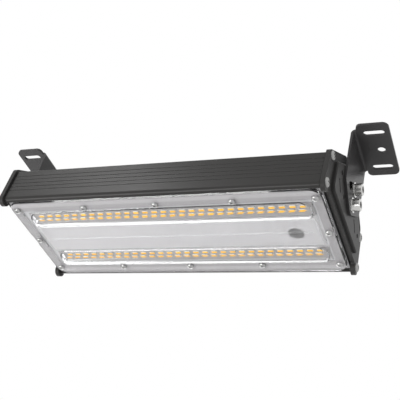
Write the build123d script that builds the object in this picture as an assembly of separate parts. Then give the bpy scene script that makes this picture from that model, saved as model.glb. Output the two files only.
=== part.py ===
from build123d import *
from math import cos, radians, sin, tan
import os

# Linear high bay light with two tilt brackets, in millimetres.
# +Z is up, X runs along the light and -Y is its front. The origin is the middle of the ceiling plane,
# which the tops of both bracket flanges touch.

os.makedirs("parts", exist_ok=True)

# Clearances between pieces that go together
recess_gap = 0.3
thread_gap = 0.05
hole_gap = 0.3
pivot_gap = 0.08

# Tilt brackets, each folded from one sheet
pivot_drop = 57.9
tilt_range = 45.0
sheet = 2.0
bend_radius = 2.0
flange_reach = 29.8
flange_width = 60.0
flange_outer_corner = 5.0
flange_inner_corner = 4.0
leg_width = 48.0
leg_taper = 35.0
leg_nose = 8.0
leg_corner = 5.0
mount_slot_length = 17.0
mount_slot_width = 5.4
mount_slot_out = 17.3
mount_slot_pitch = 40.1
mount_hole_width = 6.6
mount_hole_out = 19.8

# Bracket bolts, M6 with socket heads, and their washers
bolt_radius = 3.0
bolt_length = 16.0
bolt_head_radius = 5.0
bolt_head_height = 6.0
bolt_head_bevel = 0.5
bolt_socket = 5.0
bolt_socket_depth = 3.0
lock_radius = 15.3
washer_radius = 6.0
washer_thickness = 1.2
bolt_boss_depth = 8.0
bolt_boss_width = 14.0
bolt_hole_spare = 0.8

# Housing extrusion, with heights measured up from its lower edge
housing_length = 272.0
housing_width = 110.6
pivot_height = 25.5
band_height = 3.9
band_round = 3.4
side_lean = 3.0
eaves_height = 32.9
roof_pitch = 35.3
housing_height = 59.4
side_wall = 2.6
roof_wall = 3.4
plate_thickness = 4.2
lip_width = 3.6
tray_depth = 2.7
corner_round = 1.2

# Grooves along the extrusion
band_groove_width = 0.8
band_groove_depth = 0.5
side_groove_width = 0.6
side_groove_depth = 0.2
side_groove_start = 2.8
side_groove_pitch = 4.0
side_groove_count = 6
roof_groove_width = 2.2
roof_groove_depth = 1.6
roof_groove_pitch = 5.2
roof_groove_start = 9.0

# Screw ports in the extrusion's corners
port_boss = 3.6
eaves_screw_in = 3.6
eaves_screw_down = 0.7
foot_screw_out = 1.2
foot_screw_up = 1.5

# Cast end caps and their gaskets
cap_gasket = 0.8
gasket_inset = 0.5
cap_thickness = 3.5
cap_overhang = 2.0
cap_eaves_round = 4.7
cap_top_round = 8.0
foot_drop = 2.6
foot_width = 10.6
foot_round = 5.0
cap_bottom = 4.6
cap_bottom_round = 1.5
panel_height = 2.7
panel_margin = 13.3
panel_bottom = 7.9
panel_inset = 6.0
panel_round = 5.0
panel_bevel = 0.8
recess_depth = 2.0
recess_width = 1.8
recess_length = 11.0
recess_slant = -44.0
recess_hole = 1.9
recess_slots = ((-29.8, -4.8), (21.8, -3.3), (35.4, 9.2))
recess_holes = ((-29.3, 8.0), (-15.9, -4.7), (33.8, -4.1))

# Cap screws, and the cross recess and rim of every pan head, as shares of its radius and height
cap_screw_radius = 1.6
cap_screw_length = 14.0
cap_screw_head = 3.8
cap_screw_rise = 2.0
cross_width = 0.9
cross_depth = 1.0
cross_reach = 0.65
pan_side = 0.4

# Clear lens cover, its gasket and its screws
cover_gap = 0.4
cover_thickness = 2.2
cover_corner = 10.0
cover_bevel = 0.9
notch_length = 13.0
notch_depth = 1.3
lens_gasket = 1.2
dome_margin = 26.0
dome_width = 21.0
dome_height = 4.0
dome_wall = 1.4
dome_end = 8.5
dome_soft = 3.8
rib_width = 1.0
rib_height = 0.7
rib_inset = 9.2
rib_length = 26.0
rib_offset = 22.0
center_rib_width = 1.2
center_rib_height = 0.4
center_rib_margin = 36.0
lens_screw_count = 5
lens_screw_corner = 6.0
lens_screw_inset = 10.2
lens_screw_end_inset = 5.4
lens_screw_radius = 1.5
lens_screw_length = 7.0
lens_screw_head = 2.9
lens_screw_rise = 1.8

# LED boards, LEDs and the white sheet between them
board_inset = 16.6
board_margin = 24.0
board_width = 15.0
board_thickness = 0.9
led_margin = 8.0
led_pitch = 8.22
led_shift = 1.5
led_row_pitch = 4.9
led_length = 4.8
led_width = 2.4
led_height = 0.7
sheet_margin = 22.0
sheet_gap = 1.1
sheet_thickness = 0.5
wire_hole_inset = 31.5
wire_hole_y = 1.5
wire_hole_radius = 6.5
grommet_bore = 2.5
grommet_rise = 1.5

# LED driver and terminal block inside the housing
driver_length = 150.0
driver_width = 52.0
driver_height = 30.0
driver_wall = 1.2
driver_round = 2.0
driver_ear = 9.0
driver_screw_radius = 1.9
driver_screw_grip = 3.2
driver_screw_head = 3.6
driver_screw_rise = 2.0
driver_screw_side = 19.0
block_length = 24.0
block_width = 30.0
block_height = 15.0
block_gap = 7.0
block_poles = 3
block_pole_pitch = 9.0
block_wire_radius = 2.2
block_screw_radius = 2.0
block_screw_depth = 5.0

# Cable gland, M12, in the rear side of the housing, on a flat spot face
gland_height = 19.4
gland_spot = 9.6
gland_spot_depth = 0.6
gland_thread = 6.0
gland_thread_end = 1.0
gland_flats = 16.0
gland_flange = 4.0
gland_stub = 6.0
gland_bore = 3.5
cable_radius = 3.25
seal_radius = 4.8
seal_length = 9.0
seal_depth = 5.0
nut_radius = 8.0
nut_grip = 8.0
nut_dome = 4.0
nut_mouth = 4.0
nut_slope = 30.0
locknut_flats = 15.0
locknut_thickness = 3.6

# Planes that the pieces share
pivot_z = -pivot_drop
base_z = pivot_z - pivot_height
housing_end = housing_length / 2
cap_inner = housing_end + cap_gasket
cap_outer = cap_inner + cap_thickness
leg_x = cap_outer + panel_height
leg_outer = leg_x + sheet
head_x = leg_outer + washer_thickness
lock_z = pivot_z + lock_radius
half_width = housing_width / 2
tray_half = half_width - lip_width
floor_height = tray_depth + plate_thickness
panel_half = half_width - panel_margin
cover_top = tray_depth - lens_gasket
cover_face = cover_top - cover_thickness
board_face = tray_depth - board_thickness
board_side = tray_half - board_inset - board_width / 2
board_gap = 2 * board_side - board_width
board_length = housing_length - board_margin
dome_length = housing_length - dome_margin
lens_screw_side = tray_half - lens_screw_inset
lens_screw_end = housing_end - lens_screw_end_inset
lens_screw_pitch = 2 * (housing_end - lens_screw_corner) / (lens_screw_count - 1)
led_columns = int((board_length - led_length - led_margin) / led_pitch) + 1
wire_hole_x = housing_end - wire_hole_inset
block_x = -(driver_length / 2 + driver_ear + block_gap + block_length / 2)
lean = radians(side_lean)
pitch = radians(roof_pitch)


def side_y(height, out=0.0):
    """Half width of the leaning side at a height, moved outwards by a distance."""
    return half_width - (height - band_height) * tan(lean) + out / cos(lean)


def gland_place(start):
    """Plane across the gland, at a distance out from its spot face. Its normal points out."""
    spot = (block_x, side_y(gland_height, -gland_spot_depth), base_z + gland_height)
    return Plane(spot, x_dir=(1, 0, 0), z_dir=(0, cos(lean), sin(lean))).offset(start)


eaves_y = side_y(eaves_height)
seal_start = gland_flange + gland_stub - seal_depth


def roof_height(y, out=0.0):
    """Height of the sloping roof at a half width, moved outwards by a distance."""
    return eaves_height + (eaves_y - y) * tan(pitch) + out / cos(pitch)


def upper_corners(side_out, roof_out):
    """Eaves corner and top corner of the section, with its sides and its roof moved outwards."""
    rise = tan(lean) * tan(pitch)
    ridge = roof_height(0, roof_out)
    eaves = (side_y(0, side_out) - ridge * tan(lean)) / (1 - rise)
    top = housing_height + roof_out
    return (eaves, ridge - eaves * tan(pitch)), ((ridge - top) / tan(pitch), top)


def mirrored(points):
    """A closed outline from its right-hand points, which run from the bottom to the top."""
    return points + [(-y, height) for y, height in reversed(points)]


def outline(points):
    """Face with sharp corners from its right-hand (y, height) points."""
    return make_face(Polyline(*mirrored(points), close=True))


def round_outline(points, radii):
    """Face with a radius for each of its right-hand (y, height) points."""
    return make_face(FilletPolyline(*mirrored(points), radius=radii + radii[::-1], close=True))


def along(face, start, end):
    """Solid from a face in (y, height), between two places along the light."""
    return extrude(Plane.YZ.offset(start) * Pos(0, base_z) * face, end - start)


def rod(radius, start, end, y, z):
    """Round bar along the light."""
    return extrude(Plane.YZ.offset(start) * Pos(y, z) * Circle(radius), end - start)


def post(radius, bottom, top, x, y):
    """Upright round bar, with its ends given as heights."""
    return extrude(Pos(x, y, base_z + bottom) * Circle(radius), top - bottom)


def slab(length, width, bottom, top, x=0.0, y=0.0, corner=0.0):
    """Flat plate between two heights, with rounded corners where a radius is given."""
    face = RectangleRounded(length, width, corner) if corner else Rectangle(length, width)
    return extrude(Pos(x, y, base_z + bottom) * face, top - bottom)


def both_sides(points):
    """The given (y, height) points and their mirror images."""
    return [(side * y, height) for y, height in points for side in (1, -1)]


cap_screw_places = both_sides(
    [
        (eaves_y - eaves_screw_in, eaves_height - eaves_screw_down),
        (tray_half + foot_screw_out, tray_depth + foot_screw_up),
    ]
)
lens_screw_places = [
    ((i - (lens_screw_count - 1) / 2) * lens_screw_pitch, side * lens_screw_side)
    for i in range(lens_screw_count)
    for side in (-1, 1)
] + [(side * lens_screw_end, 0) for side in (-1, 1)]
driver_screw_places = [
    (end * (driver_length + driver_ear) / 2, side * driver_screw_side)
    for end in (-1, 1)
    for side in (-1, 1)
]


def section_grooves():
    """Fine grooves on both sides and wide ones over the roof, as faces to cut from the section."""
    cuts = []
    first = band_height + side_groove_start
    heights = [first + i * side_groove_pitch for i in range(side_groove_count)]
    for side in (1, -1):
        band = Rectangle(2 * band_groove_depth, band_groove_width)
        cuts.append(Pos(side * half_width, band_height) * band)
        for height in heights:
            fine = Rectangle(2 * side_groove_depth, side_groove_width)
            cuts.append(Pos(side * side_y(height), height) * Rot(0, 0, side * side_lean) * fine)
        eaves, top = upper_corners(0, 0)
        slope = (top[1] - eaves[1]) / sin(pitch)
        count = int((slope - roof_groove_start - roof_groove_width) / roof_groove_pitch) + 1
        for i in range(count):
            run = roof_groove_start + i * roof_groove_pitch
            place = Pos(side * (eaves[0] - run * cos(pitch)), eaves[1] + run * sin(pitch))
            wide = Rectangle(roof_groove_width, 2 * roof_groove_depth)
            cuts.append(place * Rot(0, 0, -side * roof_pitch) * wide)
    count = int((top[0] - roof_groove_width) / roof_groove_pitch)
    for i in range(-count, count + 1):
        flat = Rectangle(roof_groove_width, 2 * roof_groove_depth)
        cuts.append(Pos(i * roof_groove_pitch, housing_height) * flat)
    return cuts


def cavity_face():
    """Hollow of the section above the plate that carries the LED boards."""
    eaves, top = upper_corners(-side_wall, -roof_wall)
    points = [(side_y(floor_height, -side_wall), floor_height), eaves, top]
    return round_outline(points, [corner_round] * 3)


def housing():
    eaves, top = upper_corners(0, 0)
    points = [(side_y(0), 0), eaves, top]
    outer = round_outline(points, [band_round, corner_round, corner_round])
    section = outer - cavity_face() - section_grooves()
    for y, height in cap_screw_places:
        section += outer & (Pos(y, height) * Circle(port_boss))
    tray = Pos(0, tray_depth / 2) * Rectangle(2 * tray_half, tray_depth)
    port = cap_screw_radius + thread_gap
    ports = [Pos(y, height) * Circle(port) for y, height in cap_screw_places]
    body = along(section - tray - ports, -housing_end, housing_end)
    body -= post(wire_hole_radius, tray_depth, floor_height, wire_hole_x, wire_hole_y)
    for x, y in lens_screw_places:
        body -= post(lens_screw_radius + thread_gap, tray_depth, floor_height, x, y)
    for x, y in driver_screw_places:
        thread = driver_screw_radius + thread_gap
        body -= post(thread, floor_height - driver_screw_grip, floor_height, x, y)
    body -= extrude(gland_place(0) * Circle(gland_spot), gland_flange)
    return body - extrude(gland_place(0) * Circle(gland_thread + thread_gap), -side_wall)


def cap_face():
    """Outline of the end caps, with a foot at each lower corner."""
    eaves, top = upper_corners(cap_overhang, cap_overhang)
    foot_out = side_y(0, cap_overhang)
    foot_in = foot_out - foot_width
    points = [(foot_in, cap_bottom), (foot_in, -foot_drop), (foot_out, -foot_drop), eaves, top]
    return round_outline(points, [cap_bottom_round, foot_round, foot_round, cap_eaves_round, cap_top_round])


def bolt_holes(start, end, radius):
    """Bars for the two bracket bolts of the right end."""
    return [rod(radius, start, end, 0, z) for z in (pivot_z, lock_z)]


def end_cap():
    """Right end cap, cast: plate, feet, raised panel under the bracket, cast recesses and blind bolt bosses."""
    cap = along(cap_face(), cap_inner, cap_outer)
    top = housing_height - panel_inset
    shoulder = roof_height(panel_half, -panel_inset)
    ridge = (roof_height(0, -panel_inset) - top) / tan(pitch)
    points = [(panel_half, panel_bottom), (panel_half, shoulder), (ridge, top)]
    panel = along(round_outline(points, [panel_round] * 3), cap_outer, leg_x)
    cap += chamfer(panel.faces().sort_by(Axis.X)[-1].edges(), panel_bevel)
    boss = Rot(0, 0, 90) * SlotCenterToCenter(lock_radius, bolt_boss_width)
    boss = Pos(0, pivot_height + lock_radius / 2) * boss
    cap += along(boss, cap_inner - bolt_boss_depth, cap_inner)
    recess_floor = leg_x - recess_depth
    for y, up in recess_slots:
        slot = Rot(0, 0, recess_slant) * SlotOverall(recess_length, recess_width)
        cap -= along(Pos(y, pivot_height + up) * slot, recess_floor, leg_x)
    for y, up in recess_holes:
        cap -= rod(recess_hole, recess_floor, leg_x, y, pivot_z + up)
    for y, height in cap_screw_places:
        cap -= rod(cap_screw_radius + hole_gap, cap_inner, cap_outer, y, base_z + height)
    blind = head_x - bolt_length - bolt_hole_spare
    return cap - bolt_holes(blind, leg_x, bolt_radius + thread_gap)


def cap_gasket_sheet():
    """Rubber sheet between the right end of the extrusion and its cap."""
    eaves, top = upper_corners(-gasket_inset, -gasket_inset)
    foot = tray_depth + foot_screw_up
    ring = outline([(side_y(foot, -gasket_inset), foot), eaves, top]) - cavity_face()
    inner = 2 * (side_y(0, cap_overhang) - foot_width)
    ring -= Pos(0, foot) * Rectangle(inner, 2 * (cap_bottom + gasket_inset - foot))
    ring -= [Pos(y, h) * Circle(cap_screw_radius + hole_gap) for y, h in cap_screw_places]
    return along(ring, housing_end, cap_inner)


def lens_domes(inset):
    """Both long lens bars, arched across and round at their ends, as solids reduced by a wall."""
    length = dome_length - 2 * inset
    half = dome_width / 2 - inset
    bottom = cover_face - dome_height + inset
    arch = ThreePointArc((-half, cover_face), (0, bottom), (half, cover_face))
    arch += Polyline((half, cover_face), (half, cover_top), (-half, cover_top), (-half, cover_face))
    bars = []
    for side in (-1, 1):
        bar = slab(length, 2 * half, bottom, cover_top, led_shift, side * board_side, dome_end - inset)
        bar = fillet(bar.faces().sort_by(Axis.Z)[0].edges(), dome_soft - inset)
        bars.append(bar & along(Pos(side * board_side, 0) * make_face(arch), -housing_end, housing_end))
    return bars


def lens_cover():
    """Clear moulded cover: flat flange, two hollow lens bars, end ribs and notches at the end screws."""
    length = housing_length - 2 * cover_gap
    width = 2 * (tray_half - recess_gap)
    plate = slab(length, width, cover_face, cover_top, corner=cover_corner)
    plate = chamfer(plate.faces().sort_by(Axis.Z)[0].edges(), cover_bevel)
    for side in (-1, 1):
        notch_x = side * (length / 2 - notch_depth / 2)
        plate -= slab(notch_depth, notch_length, cover_face, cover_top, notch_x)
        for rib_y in (-rib_offset, rib_offset):
            rib_x = side * (length / 2 - rib_inset)
            plate += slab(rib_width, rib_length, cover_face - rib_height, cover_face, rib_x, rib_y)
    center_length = housing_length - center_rib_margin
    center = slab(center_length, center_rib_width, cover_top, cover_top + center_rib_height)
    cover = plate + center + lens_domes(0) - lens_domes(dome_wall)
    screw_hole = lens_screw_radius + hole_gap
    return cover - [post(screw_hole, cover_face, cover_top, x, y) for x, y in lens_screw_places]


def lens_gasket_ring():
    """Soft white frame between the cover and the plate, with a hole for each lens screw."""
    length = housing_length - 2 * cover_gap - 2 * recess_gap
    width = 2 * tray_half - 4 * recess_gap
    ring = slab(length, width, cover_top, tray_depth, corner=cover_corner)
    inner_length = 2 * (lens_screw_end - lens_screw_head)
    inner_width = 2 * (lens_screw_side - lens_screw_head)
    ring -= slab(inner_length, inner_width, cover_top, tray_depth, corner=lens_screw_head)
    screw_hole = lens_screw_radius + hole_gap
    return ring - [post(screw_hole, cover_top, tray_depth, x, y) for x, y in lens_screw_places]


def cross_recess(radius):
    """Tool for the cross recess of a pan head, which faces -Z at the origin."""
    bar = Box(2 * cross_reach * radius, cross_width, 2 * cross_depth)
    return bar + Rot(0, 0, 90) * bar


def pan_screw(radius, length, head, rise):
    """Pan head screw pointing up from the underside of its head, which is at the origin."""
    top, rim = (0, -rise), (head, -pan_side * rise)
    profile = TangentArc(top, rim, tangent=(1, 0))
    profile += Polyline(rim, (head, 0), (radius, 0), (radius, length), (0, length), top)
    screw = revolve(Plane.XZ * make_face(profile), Axis.Z)
    return screw - Pos(0, 0, -rise) * cross_recess(head)


def group(solids):
    """Separate solids that share one node."""
    return Compound(children=[solid for item in solids for solid in item.solids()])


def lens_screws():
    screw = pan_screw(lens_screw_radius, lens_screw_length, lens_screw_head, lens_screw_rise)
    return group([Pos(x, y, base_z + cover_face) * screw for x, y in lens_screw_places])


def cap_screws():
    screw = Rot(0, -90, 0) * pan_screw(cap_screw_radius, cap_screw_length, cap_screw_head, cap_screw_rise)
    return group([Pos(cap_outer, y, base_z + height) * screw for y, height in cap_screw_places])


def led_board(side):
    return slab(board_length, board_width, board_face, tray_depth, led_shift, side * board_side)


def leds(side):
    """Two rows of small packages under one board."""
    chips = []
    for row in (-1, 1):
        for column in range(led_columns):
            x = led_shift + (column - (led_columns - 1) / 2) * led_pitch
            y = side * board_side + row * led_row_pitch / 2
            chips.append(slab(led_length, led_width, board_face - led_height, board_face, x, y))
    return group(chips)


def center_sheet():
    """White sheet between the boards, with the hole for the wires."""
    width = board_gap - 2 * sheet_gap
    plate = slab(housing_length - sheet_margin, width, tray_depth - sheet_thickness, tray_depth)
    return plate - post(wire_hole_radius, tray_depth - sheet_thickness, tray_depth, wire_hole_x, wire_hole_y)


def wire_grommet():
    """Rubber bush in the wire hole, from the sheet to just above the plate."""
    bottom = tray_depth - sheet_thickness
    top = floor_height + grommet_rise
    bush = post(wire_hole_radius - thread_gap, bottom, top, wire_hole_x, wire_hole_y)
    return bush - post(grommet_bore, bottom, top, wire_hole_x, wire_hole_y)


def driver_base():
    """Base plate with an ear at each end."""
    top = floor_height + driver_wall
    plate = slab(driver_length + 2 * driver_ear, driver_width, floor_height, top, corner=driver_round)
    for x, y in driver_screw_places:
        plate -= post(driver_screw_radius + hole_gap, floor_height, top, x, y)
    return plate


def driver_case():
    """Folded cover over the driver, open below."""
    bottom = floor_height + driver_wall
    top = bottom + driver_height
    case = slab(driver_length, driver_width, bottom, top)
    case = fillet(case.faces().sort_by(Axis.Z)[-1].edges(), driver_round)
    inner_length = driver_length - 2 * driver_wall
    inner_width = driver_width - 2 * driver_wall
    return case - slab(inner_length, inner_width, bottom, top - driver_wall)


def driver_screws():
    length = driver_wall + driver_screw_grip
    screw = Rot(180, 0, 0) * pan_screw(driver_screw_radius, length, driver_screw_head, driver_screw_rise)
    seat = base_z + floor_height + driver_wall
    return group([Pos(x, y, seat) * screw for x, y in driver_screw_places])


def terminal_block():
    """Block with three poles, between the driver and the gland."""
    top = floor_height + block_height
    block = slab(block_length, block_width, floor_height, top, block_x)
    for i in range(block_poles):
        y = (i - (block_poles - 1) / 2) * block_pole_pitch
        middle = base_z + floor_height + block_height / 2
        start = block_x - block_length / 2
        block -= rod(block_wire_radius, start, start + block_length, y, middle)
        block -= post(block_screw_radius, top - block_screw_depth, top, block_x, y)
    return block


def bracket():
    """Right bracket: flange, fold and leg with the pivot hole and the curved lock slot."""
    fold_x = leg_outer + bend_radius
    fold_z = -(sheet + bend_radius)
    flange_end = leg_x + flange_reach
    flange_length = flange_end - fold_x
    half = flange_width / 2
    corners = [(fold_x, -half), (flange_end, -half), (flange_end, half), (fold_x, half)]
    radii = [flange_inner_corner, flange_outer_corner, flange_outer_corner, flange_inner_corner]
    flange_face = make_face(FilletPolyline(*corners, radius=radii, close=True))
    for side in (-1, 1):
        slot = SlotOverall(mount_slot_length, mount_slot_width)
        flange_face -= Pos(leg_x + mount_slot_out, side * mount_slot_pitch / 2) * slot
    flange_face -= Pos(leg_x + mount_hole_out, 0) * Circle(mount_hole_width / 2)
    flange = extrude(Pos(0, 0, -sheet) * flange_face, sheet)
    ring = Circle(bend_radius + sheet) - Circle(bend_radius)
    size = bend_radius + sheet
    quarter = ring & Pos(-size / 2, size / 2) * Rectangle(size, size)
    fold = extrude(Plane.XZ * Pos(fold_x, fold_z) * quarter, leg_width / 2, both=True)
    taper = radians(leg_taper)
    nose_y = leg_nose * sin(taper)
    nose_z = pivot_z - leg_nose * cos(taper)
    edge_z = nose_z + (leg_width / 2 - nose_y) * tan(taper)
    points = [(nose_y, nose_z), (leg_width / 2, edge_z), (leg_width / 2, fold_z)]
    leg_face = round_outline(points, [0, leg_corner, 0])
    leg_face += Pos(0, pivot_z) * Circle(leg_nose)
    leg_face -= Pos(0, pivot_z) * Circle(bolt_radius + pivot_gap)
    arc = CenterArc((0, pivot_z), lock_radius, 90 - tilt_range, 2 * tilt_range)
    leg_face -= SlotArc(arc, 2 * (bolt_radius + hole_gap))
    leg = extrude(Plane.YZ.offset(leg_x) * leg_face, sheet)
    return flange + fold + leg


def bracket_bolt(z):
    """Socket head bolt of the right end."""
    bolt = rod(bolt_head_radius, head_x, head_x + bolt_head_height, 0, z)
    bolt = chamfer(bolt.faces().sort_by(Axis.X)[-1].edges(), bolt_head_bevel)
    bolt += rod(bolt_radius, head_x - bolt_length, head_x, 0, z)
    socket_face = RegularPolygon(bolt_socket / 2, 6, major_radius=False)
    socket_start = head_x + bolt_head_height - bolt_socket_depth
    return bolt - extrude(Plane.YZ.offset(socket_start) * Pos(0, z) * socket_face, bolt_socket_depth)


def washer(z):
    ring = rod(washer_radius, leg_outer, head_x, 0, z)
    return ring - rod(bolt_radius + thread_gap, leg_outer, head_x, 0, z)


def gland_body():
    """Hexagon flange, thread through the wall and a stub for the dome nut."""
    thread = side_wall - gland_spot_depth + locknut_thickness + gland_thread_end
    hexagon = RegularPolygon(gland_flats / 2, 6, major_radius=False)
    body = extrude(gland_place(0) * hexagon, gland_flange)
    body += extrude(gland_place(0) * Circle(gland_thread), -thread)
    body += extrude(gland_place(gland_flange) * Circle(gland_thread), gland_stub)
    body -= extrude(gland_place(seal_start) * Circle(seal_radius + thread_gap), seal_depth)
    return body - extrude(gland_place(seal_start) * Circle(gland_bore), -(thread + seal_start))


def gland_seal():
    """Rubber ring that grips the cable."""
    return extrude(gland_place(seal_start) * (Circle(seal_radius) - Circle(cable_radius)), seal_length)


def gland_nut():
    """Dome nut over the stub and the seal, with a hexagon grip."""
    start = gland_flange + recess_gap
    hexagon = RegularPolygon(nut_radius, 6, major_radius=False)
    nut = extrude(gland_place(start) * hexagon, nut_grip)
    nut += extrude(gland_place(start + nut_grip) * Circle(nut_radius), nut_dome, taper=nut_slope)
    nut -= extrude(gland_place(start) * Circle(gland_thread + thread_gap), gland_stub - recess_gap)
    nut -= extrude(gland_place(start) * Circle(seal_radius + thread_gap), seal_start + seal_length - start)
    return nut - extrude(gland_place(start) * Circle(nut_mouth), nut_grip + nut_dome)


def gland_locknut():
    """Thin hexagon nut inside the wall."""
    hexagon = RegularPolygon(locknut_flats / 2, 6, major_radius=False)
    ring = hexagon - Circle(gland_thread + thread_gap)
    return extrude(gland_place(gland_spot_depth - side_wall) * ring, -locknut_thickness)


nodes = {
    "housing": housing(),
    "lens_cover": lens_cover(),
    "lens_gasket": lens_gasket_ring(),
    "lens_screws": lens_screws(),
    "center_sheet": center_sheet(),
    "wire_grommet": wire_grommet(),
    "driver_base": driver_base(),
    "driver_case": driver_case(),
    "driver_screws": driver_screws(),
    "terminal_block": terminal_block(),
    "gland_body": gland_body(),
    "gland_seal": gland_seal(),
    "gland_nut": gland_nut(),
    "gland_locknut": gland_locknut(),
}
for name, side in (("front", -1), ("rear", 1)):
    nodes[f"{name}_led_board"] = led_board(side)
    nodes[f"{name}_leds"] = leds(side)
right_end = {
    "end_cap": end_cap(),
    "cap_gasket": cap_gasket_sheet(),
    "cap_screws": cap_screws(),
    "bracket": bracket(),
    "pivot_bolt": bracket_bolt(pivot_z),
    "lock_bolt": bracket_bolt(lock_z),
    "pivot_washer": washer(pivot_z),
    "lock_washer": washer(lock_z),
}
for name, shape in right_end.items():
    nodes[f"right_{name}"] = shape
    nodes[f"left_{name}"] = mirror(shape, about=Plane.YZ)

for name, shape in nodes.items():
    export_step(shape, f"parts/{name}.step")
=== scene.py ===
import bmesh
import bpy
from math import pi, radians
from mathutils import Matrix, Vector


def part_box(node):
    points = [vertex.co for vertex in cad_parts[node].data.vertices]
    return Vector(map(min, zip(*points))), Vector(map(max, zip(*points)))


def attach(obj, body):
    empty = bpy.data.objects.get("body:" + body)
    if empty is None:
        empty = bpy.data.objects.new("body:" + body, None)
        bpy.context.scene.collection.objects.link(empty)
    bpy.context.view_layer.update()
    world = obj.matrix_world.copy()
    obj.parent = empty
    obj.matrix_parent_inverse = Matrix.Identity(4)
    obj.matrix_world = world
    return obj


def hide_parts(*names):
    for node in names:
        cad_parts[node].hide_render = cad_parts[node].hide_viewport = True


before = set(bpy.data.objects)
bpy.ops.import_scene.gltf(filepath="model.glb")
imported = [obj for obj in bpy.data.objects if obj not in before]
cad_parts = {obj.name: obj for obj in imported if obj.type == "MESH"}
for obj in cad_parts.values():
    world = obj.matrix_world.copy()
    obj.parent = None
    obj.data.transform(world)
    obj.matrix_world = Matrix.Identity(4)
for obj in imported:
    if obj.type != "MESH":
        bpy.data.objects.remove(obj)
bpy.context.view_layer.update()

# Housing. One aluminium extrusion, powder coated charcoal outside: a satin paint baked on, with the fine
# orange peel that the melted powder leaves and faint lines from the die. The shallow tray under it, where
# the LED boards lie, is masked while it is coated and stays bare satin aluminium.
housing_paint = (0.0360, 0.0348, 0.0335)
bare_aluminium = (0.42, 0.42, 0.43)
tray_cover = 0.0004
peel_detail = 3.0
cloud_detail = 2.0
cloud_fineness = 14.0
satin_swing = 0.1
coat_edge_radius = 0.0004
coat_edge_samples = 4
grain_detail = 2.0
die_line_fineness = 900.0
die_line_depth = 0.00003
along_light = (0.01, 1.0, 1.0)


def figure(tree, operation, first, second=None, third=None):
    """Result of one sum in a node tree, from sockets or numbers."""
    node = tree.nodes.new("ShaderNodeMath")
    node.operation = operation
    for socket, value in zip(node.inputs, (first, second, third)):
        if isinstance(value, bpy.types.NodeSocket):
            tree.links.new(value, socket)
        elif value is not None:
            socket.default_value = value
    return node.outputs[0]


def spot_of(tree):
    """The place on the piece, in metres."""
    return tree.nodes.new("ShaderNodeTexCoord").outputs["Object"]


def axes_of(tree):
    """The same place as its x, y and z."""
    axes = tree.nodes.new("ShaderNodeSeparateXYZ")
    tree.links.new(spot_of(tree), axes.inputs[0])
    return axes.outputs["X"], axes.outputs["Y"], axes.outputs["Z"]


def shader_group(name, takes, gives):
    """An empty shader node group with the named inputs and outputs, and its two end nodes."""
    group = bpy.data.node_groups.new(name, "ShaderNodeTree")
    for socket, kind in takes:
        group.interface.new_socket(socket, in_out="INPUT", socket_type="NodeSocket" + kind)
    for socket, kind in gives:
        group.interface.new_socket(socket, in_out="OUTPUT", socket_type="NodeSocket" + kind)
    return group, group.nodes.new("NodeGroupInput"), group.nodes.new("NodeGroupOutput")


coat, coat_in, coat_out = shader_group(
    "powder_coat",
    (("Paint", "Color"), ("Unevenness", "Float"), ("Peel Fineness", "Float"), ("Satin", "Float")),
    (("Shade", "Color"), ("Height", "Float"), ("Roughness", "Float")),
)
spot = spot_of(coat)
peel = coat.nodes.new("ShaderNodeTexNoise")
peel.inputs["Detail"].default_value = peel_detail
cloud = coat.nodes.new("ShaderNodeTexNoise")
cloud.inputs["Scale"].default_value = cloud_fineness
cloud.inputs["Detail"].default_value = cloud_detail
coat.links.new(spot, peel.inputs["Vector"])
coat.links.new(spot, cloud.inputs["Vector"])
coat.links.new(coat_in.outputs["Peel Fineness"], peel.inputs["Scale"])
darkest = figure(coat, "MULTIPLY_ADD", coat_in.outputs["Unevenness"], -0.5, 1.0)
swing = figure(coat, "MULTIPLY_ADD", cloud.outputs["Fac"], coat_in.outputs["Unevenness"], darkest)
tone = coat.nodes.new("ShaderNodeVectorMath")
tone.operation = "SCALE"
coat.links.new(coat_in.outputs["Paint"], tone.inputs[0])
coat.links.new(swing, tone.inputs["Scale"])
sheen = figure(coat, "MULTIPLY_ADD", cloud.outputs["Fac"], satin_swing, coat_in.outputs["Satin"])
coat.links.new(tone.outputs["Vector"], coat_out.inputs["Shade"])
coat.links.new(peel.outputs["Fac"], coat_out.inputs["Height"])
coat.links.new(sheen, coat_out.inputs["Roughness"])

grain, grain_in, grain_out = shader_group(
    "drawn_grain", (("Fineness", "Float"), ("Draw", "Vector")), (("Lines", "Float"),))
spot = spot_of(grain)
stretch = grain.nodes.new("ShaderNodeVectorMath")
stretch.operation = "MULTIPLY"
lines = grain.nodes.new("ShaderNodeTexNoise")
lines.inputs["Detail"].default_value = grain_detail
grain.links.new(spot, stretch.inputs[0])
grain.links.new(grain_in.outputs["Draw"], stretch.inputs[1])
grain.links.new(stretch.outputs["Vector"], lines.inputs["Vector"])
grain.links.new(grain_in.outputs["Fineness"], lines.inputs["Scale"])
grain.links.new(lines.outputs["Fac"], grain_out.inputs["Lines"])


def placed(tree, group, values):
    """A node group placed in a material with its own values."""
    node = tree.nodes.new("ShaderNodeGroup")
    node.node_tree = group
    for name, value in values.items():
        node.inputs[name].default_value = value
    return node


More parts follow.
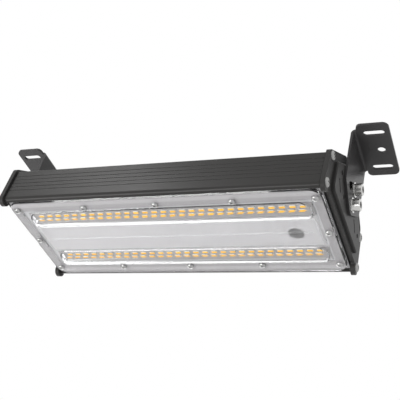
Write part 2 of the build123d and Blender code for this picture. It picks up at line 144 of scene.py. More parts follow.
def painted(name, paint, unevenness, peel_fineness, peel_depth, satin, gloss):
    """A powder coated finish of one paint, with its edges slightly rounded by the coat."""
    material = bpy.data.materials.new(name)
    material.use_nodes = True
    tree = material.node_tree
    shader = tree.nodes["Principled BSDF"]
    shader.inputs["Specular IOR Level"].default_value = gloss
    finish = placed(tree, coat, {"Paint": (*paint, 1), "Unevenness": unevenness,
                                 "Peel Fineness": peel_fineness, "Satin": satin})
    edge = tree.nodes.new("ShaderNodeBevel")
    edge.samples = coat_edge_samples
    edge.inputs["Radius"].default_value = coat_edge_radius
    bump = tree.nodes.new("ShaderNodeBump")
    bump.inputs["Distance"].default_value = peel_depth
    tree.links.new(finish.outputs["Shade"], shader.inputs["Base Color"])
    tree.links.new(finish.outputs["Roughness"], shader.inputs["Roughness"])
    tree.links.new(finish.outputs["Height"], bump.inputs["Height"])
    tree.links.new(edge.outputs["Normal"], bump.inputs["Normal"])
    tree.links.new(bump.outputs["Normal"], shader.inputs["Normal"])
    return material


def dress(nodes, material):
    """The named CAD pieces in one finish."""
    for name in nodes:
        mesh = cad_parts[name].data
        mesh.materials.clear()
        mesh.materials.append(material)


housing = painted("housing_paint", housing_paint, unevenness=0.25, peel_fineness=1400.0, peel_depth=0.00005,
                  satin=0.26, gloss=0.2)
dress(["housing"], housing)
_, tray_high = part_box("lens_gasket")
tree = housing.node_tree
shader = tree.nodes["Principled BSDF"]
paint_shade = shader.inputs["Base Color"].links[0].from_socket
_, across, up = axes_of(tree)
depth = figure(tree, "ABSOLUTE", figure(tree, "SUBTRACT", up, tray_high.z))
on_plate = figure(tree, "LESS_THAN", depth, tray_cover)
inside = figure(tree, "LESS_THAN", figure(tree, "ABSOLUTE", across), tray_high.y + tray_cover)
bare = figure(tree, "MULTIPLY", on_plate, inside)
paint_or_bare = tree.nodes.new("ShaderNodeMix")
paint_or_bare.data_type = "RGBA"
paint_or_bare.inputs["B"].default_value = (*bare_aluminium, 1)
tree.links.new(bare, paint_or_bare.inputs["Factor"])
tree.links.new(paint_shade, paint_or_bare.inputs["A"])
tree.links.new(paint_or_bare.outputs["Result"], shader.inputs["Base Color"])
die_lines = placed(tree, grain, {"Fineness": die_line_fineness, "Draw": along_light})
drawn = tree.nodes.new("ShaderNodeBump")
drawn.inputs["Distance"].default_value = die_line_depth
peel_bump = shader.inputs["Normal"].links[0].from_socket
tree.links.new(die_lines.outputs["Lines"], drawn.inputs["Height"])
tree.links.new(peel_bump, drawn.inputs["Normal"])
tree.links.new(drawn.outputs["Normal"], shader.inputs["Normal"])

# Driver. Its base and case are folded from plain aluminium sheet, which keeps the fine grain it was rolled
# with. Four steel screws hold it on the plate inside the housing.
patch_detail = 3.0
mottle, mottle_in, mottle_out = shader_group(
    "mottle",
    (("Color", "Color"), ("Darker", "Float"), ("Fineness", "Float"), ("Smoothest", "Float"),
     ("Roughest", "Float")),
    (("Shade", "Color"), ("Roughness", "Float"), ("Height", "Float")),
)
spot = spot_of(mottle)
patches = mottle.nodes.new("ShaderNodeTexNoise")
patches.inputs["Detail"].default_value = patch_detail
fade = figure(mottle, "MULTIPLY_ADD", patches.outputs["Fac"], mottle_in.outputs["Darker"], 1.0)
less = figure(mottle, "SUBTRACT", fade, mottle_in.outputs["Darker"])
shaded = mottle.nodes.new("ShaderNodeVectorMath")
shaded.operation = "SCALE"
wear = mottle.nodes.new("ShaderNodeMapRange")
mottle.links.new(spot, patches.inputs["Vector"])
mottle.links.new(mottle_in.outputs["Fineness"], patches.inputs["Scale"])
mottle.links.new(mottle_in.outputs["Color"], shaded.inputs[0])
mottle.links.new(less, shaded.inputs["Scale"])
mottle.links.new(patches.outputs["Fac"], wear.inputs["Value"])
mottle.links.new(mottle_in.outputs["Smoothest"], wear.inputs["To Min"])
mottle.links.new(mottle_in.outputs["Roughest"], wear.inputs["To Max"])
mottle.links.new(shaded.outputs["Vector"], mottle_out.inputs["Shade"])
mottle.links.new(wear.outputs["Result"], mottle_out.inputs["Roughness"])
mottle.links.new(patches.outputs["Fac"], mottle_out.inputs["Height"])


def plain(name, color, smooth, rough, fineness, darker=0.12, relief=0.0, metal=0.0, gloss=0.5):
    """A moulded, cut or rolled surface whose shade and gloss vary a little over it."""
    material = bpy.data.materials.new(name)
    material.use_nodes = True
    tree = material.node_tree
    shader = tree.nodes["Principled BSDF"]
    shader.inputs["Metallic"].default_value = metal
    shader.inputs["Specular IOR Level"].default_value = gloss
    finish = placed(tree, mottle, {"Color": (*color, 1), "Darker": darker, "Fineness": fineness,
                                   "Smoothest": smooth, "Roughest": rough})
    tree.links.new(finish.outputs["Shade"], shader.inputs["Base Color"])
    tree.links.new(finish.outputs["Roughness"], shader.inputs["Roughness"])
    if relief:
        bump = tree.nodes.new("ShaderNodeBump")
        bump.inputs["Distance"].default_value = relief
        tree.links.new(finish.outputs["Height"], bump.inputs["Height"])
        tree.links.new(bump.outputs["Normal"], shader.inputs["Normal"])
    return material


def rolled(material, fineness, line_depth):
    """The same finish with fine grain lines along the light."""
    tree = material.node_tree
    shader = tree.nodes["Principled BSDF"]
    lines = placed(tree, grain, {"Fineness": fineness, "Draw": along_light})
    bump = tree.nodes.new("ShaderNodeBump")
    bump.inputs["Distance"].default_value = line_depth
    tree.links.new(lines.outputs["Lines"], bump.inputs["Height"])
    tree.links.new(bump.outputs["Normal"], shader.inputs["Normal"])
    return material


driver_metal = plain("driver_metal", (0.62, 0.63, 0.64), smooth=0.32, rough=0.45, fineness=60.0, metal=1.0)
dress(["driver_base", "driver_case"], rolled(driver_metal, fineness=1500.0, line_depth=0.00002))
steel = plain("zinc_steel", (0.80, 0.80, 0.79), smooth=0.2, rough=0.32, fineness=900.0, darker=0.15,
              relief=0.00001, metal=1.0)
dress(["driver_screws"], steel)

# Terminal block. A block moulded in pale plastic, on the plate inside the housing. The mains wires that come
# in through the cable gland are screwed to it.
cream = plain("terminal_plastic", (0.75, 0.73, 0.66), smooth=0.3, rough=0.4, fineness=150.0, relief=0.00002)
dress(["terminal_block"], cream)

# Cable gland, moulded in black nylon. Its body is screwed into the rear side and held by a lock nut inside,
# and its cap nut presses a rubber seal on the cable.
nylon = plain("black_nylon", (0.022, 0.022, 0.023), smooth=0.35, rough=0.5, fineness=400.0, relief=0.00003)
dress(["gland_body", "gland_nut", "gland_locknut"], nylon)
rubber = plain("black_rubber", (0.02, 0.02, 0.02), smooth=0.55, rough=0.75, fineness=700.0, relief=0.00004)
dress(["gland_seal"], rubber)

# End caps. Die cast aluminium with a raised panel for the bracket, coated like the housing. A casting
# takes the coat a little rougher than an extrusion. A black rubber gasket lies under each.
cap_paint = (0.0520, 0.0508, 0.0495)
cast_coat = painted("cap_paint", cap_paint, unevenness=0.35, peel_fineness=900.0, peel_depth=0.00009,
                    satin=0.34, gloss=0.1)
dress(["left_end_cap", "right_end_cap"], cast_coat)
dress(["left_cap_gasket", "right_cap_gasket"], rubber)

# Cap screws. Four zinc plated pan heads with a cross recess hold each cap on the extrusion's screw ports.
# The tree makes one screw from its sizes and puts it on every seat.
head_sides = 32
head_rings = 7
shank_sides = 16
dome_fullness = 2.4
spin_seed = 5
smooth_angle = radians(35)


def seat_tree(name, takes):
    """An empty Geometry Nodes tree that makes something on its seats, and the sockets of its inputs."""
    tree = bpy.data.node_groups.new(name, "GeometryNodeTree")
    tree.interface.new_socket("Seats", in_out="INPUT", socket_type="NodeSocketGeometry")
    for kind, names in takes.items():
        for socket in names:
            tree.interface.new_socket(socket, in_out="INPUT", socket_type="NodeSocket" + kind)
    tree.interface.new_socket("Made", in_out="OUTPUT", socket_type="NodeSocketGeometry")
    return tree, tree.nodes.new("NodeGroupInput").outputs


def step(tree, kind, **inputs):
    """A node of a Geometry Nodes tree with its inputs set or linked."""
    node = tree.nodes.new(kind)
    for name, value in inputs.items():
        socket = node.inputs[name.replace("_", " ")]
        if isinstance(value, bpy.types.NodeSocket):
            tree.links.new(value, socket)
        else:
            socket.default_value = value
    return node


def vector(tree, x, y, z):
    """A vector socket from three sockets or numbers."""
    return step(tree, "ShaderNodeCombineXYZ", X=x, Y=y, Z=z).outputs[0]


def point_axes(tree):
    """The place of each point as x, y and z."""
    place = tree.nodes.new("GeometryNodeInputPosition")
    return step(tree, "ShaderNodeSeparateXYZ", Vector=place.outputs[0]).outputs


def put_on_seats(tree, sizes, parts):
    """The tree's end: one joined shape on every seat, turned to face outwards, with its finish."""
    whole = tree.nodes.new("GeometryNodeJoinGeometry")
    for part in parts:
        tree.links.new(part, whole.inputs[0])
    turn = step(tree, "FunctionNodeEulerToRotation", Euler=sizes["Facing"])
    copies = step(tree, "GeometryNodeInstanceOnPoints", Points=sizes["Seats"], Instance=whole.outputs[0],
                  Rotation=turn.outputs[0])
    chance = tree.nodes.new("FunctionNodeRandomValue")
    chance.data_type = "FLOAT"
    chance.inputs["Max"].default_value = 2 * pi
    chance.inputs["Seed"].default_value = spin_seed
    spin = step(tree, "FunctionNodeEulerToRotation", Euler=vector(tree, 0.0, 0.0, chance.outputs["Value"]))
    spun = step(tree, "GeometryNodeRotateInstances", Instances=copies.outputs[0], Rotation=spin.outputs[0])
    real = step(tree, "GeometryNodeRealizeInstances", Geometry=spun.outputs[0])
    done = step(tree, "GeometryNodeSetMaterial", Geometry=real.outputs[0], Material=sizes["Finish"])
    tree.links.new(done.outputs[0], tree.nodes.new("NodeGroupOutput").inputs[0])


screw_tree, sizes = seat_tree("cross_recess_screws", {
    "Float": ("Head Radius", "Head Rise", "Rim Height", "Shank Radius", "Shank Length", "Recess Reach",
              "Recess Width", "Recess Depth"),
    "Vector": ("Facing",),
    "Material": ("Finish",),
})
head = step(screw_tree, "GeometryNodeMeshCylinder", Vertices=head_sides, Radius=sizes["Head Radius"],
            Depth=sizes["Head Rise"], Fill_Segments=head_rings)
head.fill_type = "TRIANGLE_FAN"
x, y, z = point_axes(screw_tree)
y_square = figure(screw_tree, "MULTIPLY", y, y)
distance = figure(screw_tree, "SQRT", figure(screw_tree, "MULTIPLY_ADD", x, x, y_square))
share = figure(screw_tree, "DIVIDE", distance, sizes["Head Radius"])
fall = figure(screw_tree, "SUBTRACT", 1.0, figure(screw_tree, "POWER", share, dome_fullness))
arch = figure(screw_tree, "SQRT", figure(screw_tree, "MAXIMUM", fall, 0.0))
crown = figure(screw_tree, "SUBTRACT", sizes["Head Rise"], sizes["Rim Height"])
domed = figure(screw_tree, "MULTIPLY_ADD", arch, crown, sizes["Rim Height"])
level = figure(screw_tree, "MULTIPLY", domed, figure(screw_tree, "GREATER_THAN", z, 0.0))
pan = step(screw_tree, "GeometryNodeSetPosition", Geometry=head.outputs[0],
           Position=vector(screw_tree, x, y, level))
cut = screw_tree.nodes.new("GeometryNodeMeshBoolean")
cut.operation = "DIFFERENCE"
screw_tree.links.new(pan.outputs[0], cut.inputs["Mesh 1"])
long_way = figure(screw_tree, "MULTIPLY", sizes["Recess Reach"], 2.0)
deep = figure(screw_tree, "MULTIPLY", sizes["Recess Depth"], 2.0)
for slot_x, slot_y in ((long_way, sizes["Recess Width"]), (sizes["Recess Width"], long_way)):
    bar = step(screw_tree, "GeometryNodeMeshCube", Size=vector(screw_tree, slot_x, slot_y, deep))
    lifted = step(screw_tree, "GeometryNodeTransform", Geometry=bar.outputs[0],
                  Translation=vector(screw_tree, 0.0, 0.0, sizes["Head Rise"]))
    screw_tree.links.new(lifted.outputs[0], cut.inputs["Mesh 2"])
shank = step(screw_tree, "GeometryNodeMeshCylinder", Vertices=shank_sides, Radius=sizes["Shank Radius"],
             Depth=sizes["Shank Length"])
half_down = figure(screw_tree, "MULTIPLY", sizes["Shank Length"], -0.5)
sunk = step(screw_tree, "GeometryNodeTransform", Geometry=shank.outputs[0],
            Translation=vector(screw_tree, 0.0, 0.0, half_down))
put_on_seats(screw_tree, sizes, (cut.outputs[0], sunk.outputs[0]))


def grown(name, tree, seats, values, replaced):
    """The plain mesh that a tree makes on its seats. It stands for the CAD nodes it replaces."""
    points = bpy.data.meshes.new(name)
    points.from_pydata(seats, [], [])
    piece = bpy.data.objects.new(name, points)
    bpy.context.scene.collection.objects.link(piece)
    maker = piece.modifiers.new("maker", "NODES")
    maker.node_group = tree
    for item in tree.interface.items_tree:
        if item.in_out == "INPUT" and item.name in values:
            maker[item.identifier] = values[item.name]
    made = piece.evaluated_get(bpy.context.evaluated_depsgraph_get())
    mesh = bpy.data.meshes.new_from_object(made)
    piece.modifiers.remove(maker)
    piece.data = mesh
    mesh.polygons.foreach_set("use_smooth", [True] * len(mesh.polygons))
    mesh.set_sharp_from_angle(angle=smooth_angle)
    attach(piece, "light")
    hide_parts(*replaced)


dull_zinc = plain("dull_zinc", (0.42, 0.42, 0.41), smooth=0.34, rough=0.5, fineness=900.0, darker=0.25,
                  relief=0.00001, metal=1.0)
cap_screw = {"Head Radius": 0.0038, "Head Rise": 0.0020, "Rim Height": 0.0006, "Shank Radius": 0.0016,
             "Shank Length": 0.0140, "Recess Reach": 0.0023, "Recess Width": 0.0009, "Recess Depth": 0.0010,
             "Finish": dull_zinc}
cap_face_x = 0.1403
upper_screws = (0.05018, -0.0512)
lower_screws = (0.0529, -0.0792)
cap_seats = [(side * out, height) for out, height in (upper_screws, lower_screws) for side in (-1, 1)]
for end, sign in (("left", -1), ("right", 1)):
    cap_screw["Facing"] = (0.0, sign * pi / 2, 0.0)
    seats = [(sign * cap_face_x, y, z) for y, z in cap_seats]
    grown(f"{end}_cap_pan_heads", screw_tree, seats, cap_screw, [f"{end}_cap_screws"])

# LED boards. Two thin aluminium boards under white solder mask, bonded to the plate. Copper tracks under
# the mask stand out a little along each row of LEDs.
mask_white = (0.24, 0.232, 0.233)
solder_mask = plain("solder_mask", mask_white, smooth=0.3, rough=0.42, fineness=200.0, darker=0.06)
dress(["front_led_board", "rear_led_board"], rolled(solder_mask, fineness=420.0, line_depth=0.00003))

# LEDs. Surface mount packages in two rows on each board: a white moulded body around a window of yellow
# phosphor, with a tinned solder joint at each end. The two rows are set a little apart along the board.
rows_per_board = 2
joint_height = 0.00015
joint_share = 0.7
window_rise = 0.00004
body_draft = 0.94
led_tree, sizes = seat_tree("led_packages", {
    "Int": ("Columns",),
    "Float": ("Column Pitch", "Row Pitch", "Stagger", "Length", "Width", "Height", "Rim", "Joint"),
    "Material": ("Body", "Phosphor", "Solder"),
})
gaps = figure(led_tree, "SUBTRACT", sizes["Columns"], 1.0)
row_length = figure(led_tree, "MULTIPLY", gaps, sizes["Column Pitch"])
rows = step(led_tree, "GeometryNodeMeshGrid", Size_X=row_length, Size_Y=sizes["Row Pitch"],
            Vertices_X=sizes["Columns"], Vertices_Y=rows_per_board)
_, y, _ = point_axes(led_tree)
back = figure(led_tree, "MULTIPLY", sizes["Stagger"], -1.0)
aside = figure(led_tree, "MULTIPLY", figure(led_tree, "SIGN", y), back)
zigzag = step(led_tree, "GeometryNodeSetPosition", Geometry=rows.outputs[0],
              Offset=vector(led_tree, aside, 0.0, 0.0))


def led_block(length, width, top, bottom, finish, draft=1.0):
    """One block of the package between two heights below the board."""
    height = figure(led_tree, "SUBTRACT", top, bottom)
    block = step(led_tree, "GeometryNodeMeshCube", Size=vector(led_tree, length, width, height))
    x, y, z = point_axes(led_tree)
    below = figure(led_tree, "LESS_THAN", z, 0.0)
    narrow = figure(led_tree, "MULTIPLY_ADD", below, draft - 1.0, 1.0)
    middle = figure(led_tree, "MULTIPLY", figure(led_tree, "ADD", top, bottom), 0.5)
    spot = vector(led_tree, figure(led_tree, "MULTIPLY", x, narrow), figure(led_tree, "MULTIPLY", y, narrow),
                  figure(led_tree, "ADD", z, middle))
    moved = step(led_tree, "GeometryNodeSetPosition", Geometry=block.outputs[0], Position=spot)
    coated = step(led_tree, "GeometryNodeSetMaterial", Geometry=moved.outputs[0], Material=sizes[finish])
    return coated.outputs[0]


drop = figure(led_tree, "MULTIPLY", sizes["Height"], -1.0)
face = figure(led_tree, "SUBTRACT", drop, window_rise)
window_length = figure(led_tree, "MULTIPLY_ADD", sizes["Rim"], -2.0, sizes["Length"])
window_width = figure(led_tree, "MULTIPLY_ADD", sizes["Rim"], -2.0, sizes["Width"])
joint_length = figure(led_tree, "MULTIPLY_ADD", sizes["Joint"], 2.0, sizes["Length"])
joint_width = figure(led_tree, "MULTIPLY", sizes["Width"], joint_share)
package = led_tree.nodes.new("GeometryNodeJoinGeometry")
for block in (
    led_block(sizes["Length"], sizes["Width"], 0.0, drop, "Body", body_draft),
    led_block(window_length, window_width, figure(led_tree, "MULTIPLY", drop, 0.5), face, "Phosphor"),
    led_block(joint_length, joint_width, 0.0, -joint_height, "Solder"),
):
    led_tree.links.new(block, package.inputs[0])
on_rows = step(led_tree, "GeometryNodeInstanceOnPoints", Points=zigzag.outputs[0],
               Instance=package.outputs[0])
on_board = step(led_tree, "GeometryNodeInstanceOnPoints", Points=sizes["Seats"], Instance=on_rows.outputs[0])
real = step(led_tree, "GeometryNodeRealizeInstances", Geometry=on_board.outputs[0])
led_tree.links.new(real.outputs[0], led_tree.nodes.new("NodeGroupOutput").inputs[0])
led_body = plain("led_body", (0.66, 0.66, 0.65), smooth=0.35, rough=0.45, fineness=300.0)
phosphor = plain("led_phosphor", (0.95, 0.49, 0.0), smooth=0.5, rough=0.6, fineness=900.0, darker=0.04,
                 gloss=0.1)
solder = plain("tinned_solder", (0.7, 0.7, 0.7), smooth=0.2, rough=0.35, fineness=900.0, metal=1.0)
led_sizes = {"Columns": 29, "Column Pitch": 0.00822, "Row Pitch": 0.0049, "Stagger": 0.0012,
             "Length": 0.0048, "Width": 0.0024, "Height": 0.0007, "Rim": 0.00012, "Joint": 0.00035,
             "Body": led_body, "Phosphor": phosphor, "Solder": solder}
for row in ("front", "rear"):
    low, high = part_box(f"{row}_leds")
    seat = ((low.x + high.x) / 2, (low.y + high.y) / 2, high.z)
    grown(f"{row}_led_packages", led_tree, [seat], led_sizes, [f"{row}_leds"])

# White sheet. A plain matt film bonded between the boards, which sends stray light down again. The wires
# come through a rubber bush near its right end.
white_sheet = plain("white_sheet", (0.37, 0.365, 0.37), smooth=0.45, rough=0.6, fineness=90.0, darker=0.05)
dress(["center_sheet"], rolled(white_sheet, fineness=500.0, line_depth=0.00003))
dress(["wire_grommet"], rubber)

# Lens gasket, a frame of soft grey-white silicone between the cover and the plate. Its colour holds a painted
# highlight, a paler band along the screws, with painted shade on either side, for the cover's reflections.
painted_band_middle = 0.0458
painted_band_half_width = 0.0012
painted_band_half_reach = 0.0032
shade_beside_band = 0.70
silicone = plain("white_silicone", (0.38, 0.368, 0.376), smooth=0.45, rough=0.6, fineness=300.0)
dress(["lens_gasket"], silicone)
tree = silicone.node_tree
shader = tree.nodes["Principled BSDF"]
shade = shader.inputs["Base Color"].links[0].from_socket
_, across, _ = axes_of(tree)
# Painted highlight: full colour in a band along the screws, darkened as painted shade to either side of it.
off_painted_band = figure(tree, "ABSOLUTE", figure(tree, "SUBTRACT", figure(tree, "ABSOLUTE", across), painted_band_middle))
painted_band_mix = tree.nodes.new("ShaderNodeMapRange")
painted_band_mix.interpolation_type = "SMOOTHSTEP"
painted_band_mix.inputs["From Min"].default_value = painted_band_half_width
painted_band_mix.inputs["From Max"].default_value = painted_band_half_reach
painted_band_mix.inputs["To Min"].default_value = 1.0
painted_band_mix.inputs["To Max"].default_value = shade_beside_band
painted_band_shade = tree.nodes.new("ShaderNodeVectorMath")
painted_band_shade.operation = "SCALE"
tree.links.new(off_painted_band, painted_band_mix.inputs["Value"])
tree.links.new(shade, painted_band_shade.inputs[0])
tree.links.new(painted_band_mix.outputs["Result"], painted_band_shade.inputs["Scale"])
tree.links.new(painted_band_shade.outputs["Vector"], shader.inputs["Base Color"])

# Lens cover. One clear polycarbonate moulding, polished but for the inner face of its flat middle, which has
# a fine frosted grain that blurs what lies behind it. Screws press it on its gasket, and the air between
# them is a hair's breadth, so that the two faces never lie in one plane.
polycarbonate = (0.985, 0.985, 0.99)
plastic_ior = 1.5
frost_half_width = 0.0155
frost_half_length = 0.1225
frost_edge = 0.0010
frost_roughness = 1.0
polish_roughness = 0.03
seal_air = 0.00005
inner_face_depth = 0.0003
merge_distance = 1e-6
crease_angle = radians(31)
clear = bpy.data.materials.new("clear_cover")
clear.use_nodes = True
tree = clear.node_tree
shader = tree.nodes["Principled BSDF"]
shader.inputs["Base Color"].default_value = (*polycarbonate, 1)
shader.inputs["IOR"].default_value = plastic_ior
shader.inputs["Transmission Weight"].default_value = 1.0
along, across, up = axes_of(tree)
seal_low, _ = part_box("lens_gasket")
outer_face = figure(tree, "LESS_THAN", up, seal_low.z - seal_air - inner_face_depth)
past_side = figure(tree, "SUBTRACT", figure(tree, "ABSOLUTE", across), frost_half_width)
past_end = figure(tree, "SUBTRACT", figure(tree, "ABSOLUTE", along), frost_half_length)
frosted = tree.nodes.new("ShaderNodeMapRange")
frosted.interpolation_type = "SMOOTHSTEP"
frosted.inputs["From Max"].default_value = frost_edge
frosted.inputs["To Min"].default_value = frost_roughness
frosted.inputs["To Max"].default_value = polish_roughness
past_rim = figure(tree, "MAXIMUM", past_side, past_end)
polished = figure(tree, "MAXIMUM", past_rim, figure(tree, "MULTIPLY", outer_face, frost_edge))
tree.links.new(polished, frosted.inputs["Value"])
tree.links.new(frosted.outputs["Result"], shader.inputs["Roughness"])
surface = tree.nodes["Material Output"].inputs["Surface"]
passing = tree.nodes.new("ShaderNodeBsdfTransparent")
path = tree.nodes.new("ShaderNodeLightPath")
lamp_or_sight = tree.nodes.new("ShaderNodeMixShader")
tree.links.new(path.outputs["Is Shadow Ray"], lamp_or_sight.inputs["Fac"])
tree.links.new(shader.outputs["BSDF"], lamp_or_sight.inputs[1])
tree.links.new(passing.outputs["BSDF"], lamp_or_sight.inputs[2])
tree.links.new(lamp_or_sight.outputs["Shader"], surface)
cover_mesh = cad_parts["lens_cover"].data.copy()
cover_work = bmesh.new()
cover_work.from_mesh(cover_mesh)
bmesh.ops.remove_doubles(cover_work, verts=cover_work.verts, dist=merge_distance)
bmesh.ops.translate(cover_work, verts=cover_work.verts, vec=(0, 0, -seal_air))
cover_work.to_mesh(cover_mesh)
cover_work.free()
for layer in ("custom_normal", "sharp_edge", "sharp_face"):
    if layer in cover_mesh.attributes:
        cover_mesh.attributes.remove(cover_mesh.attributes[layer])
cover_mesh.polygons.foreach_set("use_smooth", [True] * len(cover_mesh.polygons))
cover_mesh.set_sharp_from_angle(angle=crease_angle)
cover_mesh.materials.clear()
cover_mesh.materials.append(clear)
cover = bpy.data.objects.new("clear_lens_cover", cover_mesh)
bpy.context.scene.collection.objects.link(cover)
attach(cover, "light")
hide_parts("lens_cover")

# Lens screws. Twelve small zinc plated pan heads, made as the cap screws are, clamp the cover on its gasket:
# five on each long side and one in each short side.
bright_steel = plain("bright_steel", (0.46, 0.46, 0.455), smooth=0.08, rough=0.16, fineness=900.0,
                     relief=0.000005, metal=1.0)
lens_screw = {"Head Radius": 0.0029, "Head Rise": 0.0018, "Rim Height": 0.0005, "Shank Radius": 0.0015,
              "Shank Length": 0.0070, "Recess Reach": 0.0014, "Recess Width": 0.0006, "Recess Depth": 0.0011,
              "Facing": (pi, 0.0, 0.0), "Finish": bright_steel}
lens_seat_z = -0.0841
lens_pitch = 0.065
long_side_y = 0.0415
short_side_x = 0.1306
lens_seats = [(column * lens_pitch, side * long_side_y, lens_seat_z) for column in range(-2, 3)
              for side in (-1, 1)]
lens_seats += [(side * short_side_x, 0.0, lens_seat_z) for side in (-1, 1)]
grown("lens_pan_heads", screw_tree, lens_seats, lens_screw, ["lens_screws"])

# Tilt brackets. Each is punched and folded from one steel sheet, and powder coated before its two bolts hold
# it on the end cap.
bracket_paint = (0.0590, 0.0572, 0.0580)
sheet_coat = painted("bracket_paint", bracket_paint, unevenness=0.2, peel_fineness=1200.0,
                     peel_depth=0.00006, satin=0.30, gloss=0.18)
dress(["left_bracket", "right_bracket"], sheet_coat)

# Bracket bolts. M6 socket heads in zinc plated steel with a fine straight knurl, each on a flat washer. The
# lower one is the pivot and the upper one locks the tilt in the curved slot.
edge_steps = 12
end_reach = 0.00001
key_sides = 6
bolt_shank_sides = 24
bolt_tree, sizes = seat_tree("socket_head_bolts", {
    "Int": ("Ridges",),
    "Float": ("Head Radius", "Head Height", "Ridge Depth", "Edge", "Shank Radius", "Shank Length",
              "Socket Radius", "Socket Depth"),
    "Vector": ("Facing",),
    "Material": ("Finish",),
})
around = figure(bolt_tree, "MULTIPLY", sizes["Ridges"], 2.0)
head = step(bolt_tree, "GeometryNodeMeshCylinder", Vertices=around, Radius=sizes["Head Radius"],
            Depth=sizes["Head Height"], Side_Segments=edge_steps)
x, y, z = point_axes(bolt_tree)
number = bolt_tree.nodes.new("GeometryNodeInputIndex").outputs[0]
odd = figure(bolt_tree, "MODULO", number, 2.0)
half_height = figure(bolt_tree, "MULTIPLY", sizes["Head Height"], 0.5)
to_end = figure(bolt_tree, "SUBTRACT", half_height, figure(bolt_tree, "ABSOLUTE", z))
at_end = figure(bolt_tree, "LESS_THAN", to_end, end_reach)
at_top = figure(bolt_tree, "MULTIPLY", at_end, figure(bolt_tree, "GREATER_THAN", z, 0.0))
in_groove = figure(bolt_tree, "MULTIPLY", odd, figure(bolt_tree, "SUBTRACT", 1.0, at_end))
pulled = figure(bolt_tree, "MULTIPLY", in_groove, sizes["Ridge Depth"])
beveled = figure(bolt_tree, "MULTIPLY_ADD", at_top, sizes["Edge"], pulled)
share = figure(bolt_tree, "SUBTRACT", 1.0, figure(bolt_tree, "DIVIDE", beveled, sizes["Head Radius"]))
lifted = figure(bolt_tree, "ADD", z, half_height)
spot = vector(bolt_tree, figure(bolt_tree, "MULTIPLY", x, share), figure(bolt_tree, "MULTIPLY", y, share),
              lifted)
knurled = step(bolt_tree, "GeometryNodeSetPosition", Geometry=head.outputs[0], Position=spot)
key = step(bolt_tree, "GeometryNodeMeshCylinder", Vertices=key_sides, Radius=sizes["Socket Radius"],
           Depth=figure(bolt_tree, "MULTIPLY", sizes["Socket Depth"], 2.0))
key_up = step(bolt_tree, "GeometryNodeTransform", Geometry=key.outputs[0],
              Translation=vector(bolt_tree, 0.0, 0.0, sizes["Head Height"]))
cut = bolt_tree.nodes.new("GeometryNodeMeshBoolean")
cut.operation = "DIFFERENCE"
bolt_tree.links.new(knurled.outputs[0], cut.inputs["Mesh 1"])
bolt_tree.links.new(key_up.outputs[0], cut.inputs["Mesh 2"])
shank = step(bolt_tree, "GeometryNodeMeshCylinder", Vertices=bolt_shank_sides, Radius=sizes["Shank Radius"],
             Depth=sizes["Shank Length"])
half_down = figure(bolt_tree, "MULTIPLY", sizes["Shank Length"], -0.5)
sunk = step(bolt_tree, "GeometryNodeTransform", Geometry=shank.outputs[0],
            Translation=vector(bolt_tree, 0.0, 0.0, half_down))
put_on_seats(bolt_tree, sizes, (cut.outputs[0], sunk.outputs[0]))
bolt_steel = plain("bolt_steel", (0.66, 0.655, 0.64), smooth=0.14, rough=0.26, fineness=700.0, darker=0.15,
                   metal=1.0)
bolt_sizes = {"Ridges": 48, "Head Radius": 0.0050, "Head Height": 0.0060, "Ridge Depth": 0.00002,
              "Edge": 0.0005, "Shank Radius": 0.0030, "Shank Length": 0.0160, "Socket Radius": 0.00289,
              "Socket Depth": 0.0030, "Finish": bolt_steel}
bolt_seat_x = 0.1462
bolt_heights = {"pivot": -0.0579, "lock": -0.0426}
for end, sign in (("left", -1), ("right", 1)):
    bolt_sizes["Facing"] = (0.0, sign * pi / 2, 0.0)
    for place, height in bolt_heights.items():
        grown(f"{end}_{place}_socket_bolt", bolt_tree, [(sign * bolt_seat_x, 0.0, height)], bolt_sizes,
              [f"{end}_{place}_bolt"])
dress([f"{end}_{place}_washer" for end in ("left", "right") for place in ("pivot", "lock")], steel)

# Studio. A pale floor far below the hanging light, a white surround and three soft lamps. Metal and the clear
# cover mirror the floor as evenly pale, and the surround as white.
floor_drop = 1.5
floor_reach = 8.0
floor_pale = (0.9, 0.9, 0.9)
surround_light = 0.5
surround_white = 1.0
corners = [(x * floor_reach, y * floor_reach, -floor_drop) for x, y in ((-1, -1), (1, -1), (1, 1), (-1, 1))]
floor_mesh = bpy.data.meshes.new("floor")
floor_mesh.from_pydata(corners, [], [(0, 1, 2, 3)])
floor = bpy.data.objects.new("floor", floor_mesh)
bpy.context.scene.collection.objects.link(floor)
floor_paint = plain("floor_paint", floor_pale, smooth=0.7, rough=0.8, fineness=3.0, darker=0.02)
floor_mesh.materials.append(floor_paint)
tree = floor_paint.node_tree
path = tree.nodes.new("ShaderNodeLightPath")
mirrored = figure(tree, "MAXIMUM", path.outputs["Is Glossy Ray"], path.outputs["Is Transmission Ray"])
even = tree.nodes.new("ShaderNodeEmission")
even.inputs["Color"].default_value = (*floor_pale, 1)
blend = tree.nodes.new("ShaderNodeMixShader")
tree.links.new(mirrored, blend.inputs["Fac"])
tree.links.new(tree.nodes["Principled BSDF"].outputs["BSDF"], blend.inputs[1])
tree.links.new(even.outputs["Emission"], blend.inputs[2])
tree.links.new(blend.outputs["Shader"], tree.nodes["Material Output"].inputs["Surface"])

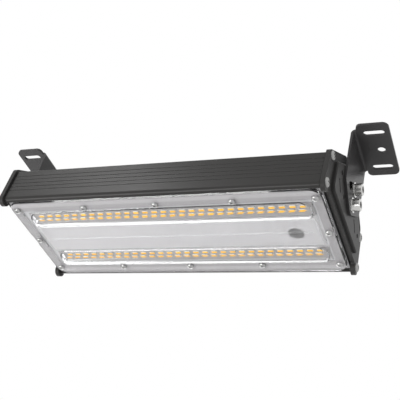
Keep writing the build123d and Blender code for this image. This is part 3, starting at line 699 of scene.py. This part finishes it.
world = bpy.data.worlds.new("surround")
bpy.context.scene.world = world
world.use_nodes = True
tree = world.node_tree
soft = tree.nodes["Background"]
soft.inputs["Color"].default_value = (1, 1, 1, 1)
soft.inputs["Strength"].default_value = surround_light
white = tree.nodes.new("ShaderNodeBackground")
white.inputs["Color"].default_value = (1, 1, 1, 1)
white.inputs["Strength"].default_value = surround_white
path = tree.nodes.new("ShaderNodeLightPath")
through = figure(tree, "MAXIMUM", path.outputs["Is Camera Ray"], path.outputs["Is Transmission Ray"])
seen = figure(tree, "MAXIMUM", through, path.outputs["Is Glossy Ray"])
blend = tree.nodes.new("ShaderNodeMixShader")
tree.links.new(seen, blend.inputs["Fac"])
tree.links.new(soft.outputs["Background"], blend.inputs[1])
tree.links.new(white.outputs["Background"], blend.inputs[2])
tree.links.new(blend.outputs["Shader"], tree.nodes["World Output"].inputs["Surface"])


def soft_lamp(name, place, aim, width, height, brightness):
    """A rectangular soft lamp turned towards a point of the object. Its brightness is that of its face."""
    data = bpy.data.lights.new(name, "AREA")
    data.shape = "RECTANGLE"
    data.size = width
    data.size_y = height
    data.energy = brightness * pi * width * height
    lamp = bpy.data.objects.new(name, data)
    lamp.location = place
    lamp.rotation_euler = (Vector(aim) - Vector(place)).to_track_quat("-Z", "Y").to_euler()
    lamp.visible_camera = False
    bpy.context.scene.collection.objects.link(lamp)


soft_lamp("front_left_lamp", place=(-0.59, -0.82, 0.64), aim=(-0.02, 0, -0.07), width=0.14, height=0.16,
          brightness=25.0)
soft_lamp("low_front_lamp", place=(-0.55, -0.72, -0.90), aim=(0, 0, -0.08), width=1.0, height=0.26,
          brightness=11.0)
soft_lamp("rear_lamp", place=(-0.70, 1.35, -0.54), aim=(0, 0, -0.08), width=1.3, height=0.60,
          brightness=1.9)

# Camera, at the photograph's angle: low, in front of the right end and looking up at the cover.
camera_place = (0.29281, -0.48998, -0.46022)
camera_right = (0.91660, 0.33164, 0.22329)
camera_up = (0.04004, -0.63184, 0.77407)
camera_back = (0.39779, -0.70057, -0.59242)
camera_data = bpy.data.cameras.new("camera")
camera_data.lens = 74.79
camera_data.sensor_width = 36.0
camera_data.clip_start = 0.01
camera = bpy.data.objects.new("camera", camera_data)
bpy.context.scene.collection.objects.link(camera)
turn = Matrix((camera_right, camera_up, camera_back)).transposed().to_4x4()
camera.matrix_world = Matrix.Translation(camera_place) @ turn
bpy.context.scene.camera = camera

bpy.context.scene.view_settings.view_transform = "Standard"
